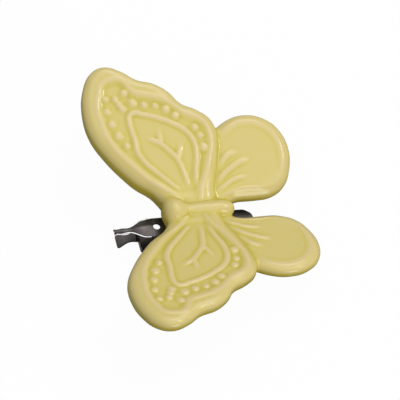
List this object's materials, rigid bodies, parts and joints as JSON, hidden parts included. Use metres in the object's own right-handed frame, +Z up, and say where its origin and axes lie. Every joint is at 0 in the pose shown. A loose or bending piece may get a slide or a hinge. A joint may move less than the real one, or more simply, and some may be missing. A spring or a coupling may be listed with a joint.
{
  "type": "butterfly ornament",
  "caption": "Glazed ceramic butterfly with raised wing veins, glued on a sprung metal clip that opens when its finger tabs are squeezed.",
  "frame": {"origin": "middle of the lower jaw's flat underside, on the surface that the clip stands on", "axes": "+X along the body from head to tail, +Y across the wings, +Z up"},
  "size_m": [0.0634, 0.0998, 0.0287],
  "materials": {
    "yellow_glaze": "glossy translucent yellow glaze over pale clay",
    "clear_glue": "clear cured adhesive",
    "black_nickel": "black nickel plate on steel sheet",
    "spring_wire": "drawn spring wire, dark plated"
  },
  "bodies": {
    "ornament": {"butterfly_casting": "yellow_glaze", "glue_pad": "clear_glue", "upper_jaw": "black_nickel", "hinge_pin": "black_nickel", "torsion_spring": "spring_wire"},
    "lower_jaw": {"lower_jaw": "black_nickel"}
  },
  "joints": [
    {"name": "jaw_open", "type": "hinge", "parent": "ornament", "child": "lower_jaw", "pos_m": [-0.0069, 0, 0.00288], "axis": [0, 1, 0], "range_deg": [0, 10], "stiffness_Nm_per_rad": 0.12, "springref_deg": -51.57, "deforming": ["torsion_spring"]}
  ]
}
